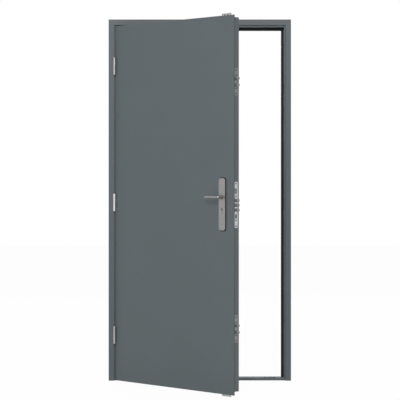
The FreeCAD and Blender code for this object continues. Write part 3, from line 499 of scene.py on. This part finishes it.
def ring_piece(name, profile, middle, way, material):
    # A closed ring on the leaf, through the outlines of its profile, each at its own rise.
    shape = bmesh.new()
    rings = []
    for outline, rise in profile:
        rings.append([shape.verts.new((across, way * rise, up)) for across, up in outline])
    for ring, following in zip(rings, rings[1:] + rings[:1]):
        for i in range(len(ring)):
            shape.faces.new((ring[i - 1], ring[i], following[i], following[i - 1]))
    bmesh.ops.recalc_face_normals(shape, faces=shape.faces)
    shape.transform(swing @ Matrix.Translation(middle))
    mesh = bpy.data.meshes.new(name)
    shape.to_mesh(mesh)
    shape.free()
    mesh.materials.append(material)
    piece = bpy.data.objects.new(name, mesh)
    bpy.context.scene.collection.objects.link(piece)
    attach(piece, "leaf")


def circle(radius):
    return [(radius * math.cos(angle), radius * math.sin(angle)) for angle in ROUND_ANGLES]


def bush(name, middle, way, material):
    # A ring with a rounded outer edge, turned about the spindle's axis.
    profile = (
        (circle(BUSH_INNER), BUSH_ROOT),
        (circle(BUSH_INNER), BUSH_RISE),
        (circle(BUSH_OUTER - BUSH_ROUNDING), BUSH_RISE),
        (circle(BUSH_OUTER), BUSH_RISE * BUSH_SHOULDER),
        (circle(BUSH_OUTER), BUSH_ROOT),
    )
    ring_piece(name, profile, middle, way, material)


def plate_shade_gasket(name, middle, way, material):
    # A flat ring whose inner part lies under the plate, and whose black lip shows round it, partly as
    # painted shade round the plate.
    width, height = PLATE_SIZE
    under = 2 * GASKET_UNDER
    inner = rounded_outline(width - under, height - under, PLATE_CORNER - GASKET_UNDER)
    wide = width + 2 * GASKET_SIDE
    tall = height + 2 * GASKET_END_SHADE
    outer = rounded_outline(wide, tall, PLATE_CORNER + GASKET_SIDE)
    bevel = rounded_outline(wide - 2 * GASKET_CHAMFER, tall - 2 * GASKET_CHAMFER, PLATE_CORNER)
    profile = (
        (inner, GASKET_ROOT),
        (inner, GASKET_THICK),
        (bevel, GASKET_THICK),
        (outer, GASKET_THICK - GASKET_CHAMFER),
        (outer, GASKET_ROOT),
    )
    ring_piece(name, profile, middle, way, material)


plate_steel = capped_plate("handle_steel", HANDLE_STEEL, RIM_SHADE_DARK, HANDLE_ROUGH)
dress(["outside_handle_plate", "inside_handle_plate"], plate_steel)
lever_steel = brushed("lever_steel", LEVER_STEEL, LEVER_ROUGH, LEVER_LINES, OPEN_ANGLE)
dress(["outside_lever", "inside_lever"], lever_steel)
bush_nylon_shade = rubber("bush_nylon_shade", BUSH_NYLON_SHADE)
axis = shut_middle("spindle")
gasket_shade_rubber = rubber("gasket_shade_rubber", GASKET_SHADE_BLACK)
plate_level = box_middle("outside_handle_plate").z
for side, way in (("outside", -1), ("inside", 1)):
    bush(f"{side}_lever_bush", (axis.x, axis.y + way * PLATE_FACE, axis.z), way, bush_nylon_shade)
    seat = (axis.x, axis.y + way * LEAF_FACE, plate_level)
    plate_shade_gasket(f"{side}_plate_shade_gasket", seat, way, gasket_shade_rubber)
spots = []
for step in HANDLE_SCREWS:
    place = Vector((axis.x, axis.y + PLATE_FACE, box_middle("inside_handle_plate").z + step))
    spots.append((swing @ place, outward @ Vector((0, 1, 0))))
screws(
    "handle_screws", spots, HANDLE_SCREW_RADIUS, HANDLE_SCREW_HEIGHT, screw_steel, "leaf"
)

# The key cylinder: a satin nickel profile all but flush with the plates, with a round plug of
# darker brass turned into each end and slotted for the key.
NICKEL = (0.33, 0.326, 0.318)
NICKEL_ROUGH = 0.34
PLUG_BRASS = (0.17, 0.16, 0.15)
PLUG_ROUGH = 0.36
PLUG_RADIUS = 0.0057
PLUG_RISE = 0.0004
PLUG_CHAMFER = 0.0003
PLUG_ROOT = -0.001
KEY_SLOT = (0.0012, 0.0045)
BARREL_RADIUS = 0.0085
BARREL_PROUD = 0.0005
NEAR_ZERO = 1e-6


def key_slot():
    # The rim of the slot, with a point on its straight edges at each angle of a circle.
    half_width, half_height = KEY_SLOT
    rim = []
    for angle in ROUND_ANGLES:
        across = half_width / max(abs(math.cos(angle)), NEAR_ZERO)
        along = half_height / max(abs(math.sin(angle)), NEAR_ZERO)
        reach = min(across, along)
        rim.append((reach * math.cos(angle), reach * math.sin(angle)))
    return rim


def key_plug(name, middle, way, material):
    profile = (
        (circle(PLUG_RADIUS), PLUG_ROOT),
        (circle(PLUG_RADIUS), PLUG_RISE - PLUG_CHAMFER),
        (circle(PLUG_RADIUS - PLUG_CHAMFER), PLUG_RISE),
        (key_slot(), PLUG_RISE),
        (key_slot(), PLUG_ROOT),
    )
    ring_piece(name, profile, middle, way, material)


dress(["key_cylinder"], brushed("cylinder_nickel", NICKEL, NICKEL_ROUGH, UPRIGHT))
plug_brass = brushed("plug_brass", PLUG_BRASS, PLUG_ROUGH, UPRIGHT)
barrel = shut_middle("key_cylinder")
barrel.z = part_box("key_cylinder")[1][2] - BARREL_RADIUS
for side, way in (("outside", -1), ("inside", 1)):
    face = barrel.y + way * (PLATE_FACE + BARREL_PROUD)
    key_plug(f"{side}_key_plug", (barrel.x, face, barrel.z), way, plug_brass)

# The studio: a pale floor under the foot bolts, a white room, and a large soft lamp in front
# of the door with a weaker one behind it.
FLOOR_LEVEL = cad_box[0][2] - 0.002
FLOOR_SIZE = 40
FLOOR_WHITE = (0.86, 0.86, 0.86, 1)
FLOOR_ROUGH = 0.9
WHITE = (1, 1, 1, 1)
WHITE_SHARE = 0.97
MIRRORED_SHARE = 0.6
ROOM_LIGHT = 0.38
# What shiny metal sees of the room: its level from in front to behind, and a slope on top.
SHEEN_STOPS = ((0, 0.45), (0.5, 0.8), (1, 1))
SHEEN_SLOPE = (-0.15, 0, 0.1)
FRONT_POWER = 220
FRONT_SIZE = 3
FRONT_PLACE = (0, -7.0, 4.6)
BACK_POWER = 130
BACK_SIZE = 4
BACK_PLACE = (-1.5, 6.5, 3.6)
LAMP_AIM = (0, -0.2, 1.3)


def seen_plainly(nodes, links):
    # The ray's path, and 1 for a ray that comes straight from the eye or through glass.
    path = nodes.new("ShaderNodeLightPath")
    either = nodes.new("ShaderNodeMath")
    either.operation = "MAXIMUM"
    links.new(path.outputs["Is Camera Ray"], either.inputs[0])
    links.new(path.outputs["Is Transmission Ray"], either.inputs[1])
    return path, either.outputs[0]


bpy.ops.mesh.primitive_plane_add(size=FLOOR_SIZE, location=(0, 0, FLOOR_LEVEL))
floor = bpy.context.object
floor.name = "studio_floor"
pale, nodes, links = new_material("studio_floor")
shader = nodes["Principled BSDF"]
shader.inputs["Base Color"].default_value = FLOOR_WHITE
shader.inputs["Roughness"].default_value = FLOOR_ROUGH
glow = nodes.new("ShaderNodeEmission")
glow.inputs["Color"].default_value = WHITE
mix = nodes.new("ShaderNodeMixShader")
path, plainly = seen_plainly(nodes, links)
share = nodes.new("ShaderNodeMath")
share.operation = "MULTIPLY"
share.inputs[1].default_value = WHITE_SHARE
links.new(plainly, share.inputs[0])
mirrored = nodes.new("ShaderNodeMath")
mirrored.operation = "MULTIPLY_ADD"
mirrored.inputs[1].default_value = MIRRORED_SHARE
links.new(path.outputs["Is Glossy Ray"], mirrored.inputs[0])
links.new(share.outputs[0], mirrored.inputs[2])
links.new(mirrored.outputs[0], mix.inputs["Fac"])
links.new(shader.outputs["BSDF"], mix.inputs[1])
links.new(glow.outputs["Emission"], mix.inputs[2])
links.new(mix.outputs["Shader"], nodes["Material Output"].inputs["Surface"])
floor.data.materials.append(pale)

world = bpy.data.worlds.new("studio_room")
bpy.context.scene.world = world
world.use_nodes = True
nodes = world.node_tree.nodes
links = world.node_tree.links
soft = nodes["Background"]
soft.inputs["Color"].default_value = WHITE
soft.inputs["Strength"].default_value = ROOM_LIGHT
white = nodes.new("ShaderNodeBackground")
white.inputs["Color"].default_value = WHITE
white.inputs["Strength"].default_value = 1
sheen = nodes.new("ShaderNodeBackground")
sheen.inputs["Color"].default_value = WHITE
toward = nodes.new("ShaderNodeTexCoord")
parts = nodes.new("ShaderNodeSeparateXYZ")
links.new(toward.outputs["Generated"], parts.inputs[0])
depth = nodes.new("ShaderNodeMapRange")
depth.inputs["From Min"].default_value = -1
links.new(parts.outputs["Y"], depth.inputs["Value"])
ramp = nodes.new("ShaderNodeValToRGB")
ramp.color_ramp.elements.new(SHEEN_STOPS[1][0])
for stop, (position, level) in zip(ramp.color_ramp.elements, SHEEN_STOPS):
    stop.position = position
    stop.color = (level, level, level, 1)
links.new(depth.outputs["Result"], ramp.inputs["Fac"])
slope = nodes.new("ShaderNodeVectorMath")
slope.operation = "DOT_PRODUCT"
slope.inputs[1].default_value = SHEEN_SLOPE
links.new(toward.outputs["Generated"], slope.inputs[0])
level = nodes.new("ShaderNodeMath")
level.operation = "ADD"
level.use_clamp = True
links.new(ramp.outputs["Color"], level.inputs[0])
links.new(slope.outputs["Value"], level.inputs[1])
links.new(level.outputs[0], sheen.inputs["Strength"])
path, plainly = seen_plainly(nodes, links)
shiny = nodes.new("ShaderNodeMixShader")
links.new(path.outputs["Is Glossy Ray"], shiny.inputs["Fac"])
links.new(soft.outputs["Background"], shiny.inputs[1])
links.new(sheen.outputs["Background"], shiny.inputs[2])
room = nodes.new("ShaderNodeMixShader")
links.new(plainly, room.inputs["Fac"])
links.new(shiny.outputs["Shader"], room.inputs[1])
links.new(white.outputs["Background"], room.inputs[2])
links.new(room.outputs["Shader"], nodes["World Output"].inputs["Surface"])


def soft_lamp(name, power, size, place):
    lamp = bpy.data.lights.new(name, "AREA")
    lamp.energy = power
    lamp.size = size
    hung = bpy.data.objects.new(name, lamp)
    hung.location = place
    aim = Vector(LAMP_AIM) - hung.location
    hung.rotation_euler = aim.to_track_quat("-Z", "Y").to_euler()
    bpy.context.scene.collection.objects.link(hung)


soft_lamp("front_lamp", FRONT_POWER, FRONT_SIZE, FRONT_PLACE)
soft_lamp("back_lamp", BACK_POWER, BACK_SIZE, BACK_PLACE)

bpy.context.scene.view_settings.view_transform = "Standard"

# The camera: a long lens on a stand square to the frame, as far off as the leaf's converging
# edges tell, with its horizon a little above the lever.
CAMERA_ASIDE = 0.001
CAMERA_AHEAD = 9.7
CAMERA_HEIGHT = 1.13
HORIZON_PIXEL = 178.6
IMAGE_SIDE = 400
SENSOR_WIDTH = 36
PIXELS_PER_METRE = 178.85
FRAME_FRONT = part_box("hinge_jamb")[0][1]

camera = bpy.data.cameras.new("camera")
camera.sensor_width = SENSOR_WIDTH
camera.lens = PIXELS_PER_METRE * CAMERA_AHEAD / IMAGE_SIDE * SENSOR_WIDTH
camera.shift_y = (HORIZON_PIXEL - IMAGE_SIDE / 2) / IMAGE_SIDE
camera_object = bpy.data.objects.new("camera", camera)
camera_object.location = (CAMERA_ASIDE, FRAME_FRONT - CAMERA_AHEAD, CAMERA_HEIGHT)
camera_object.rotation_euler = (math.radians(90), 0, 0)
bpy.context.scene.collection.objects.link(camera_object)
bpy.context.scene.camera = camera_object
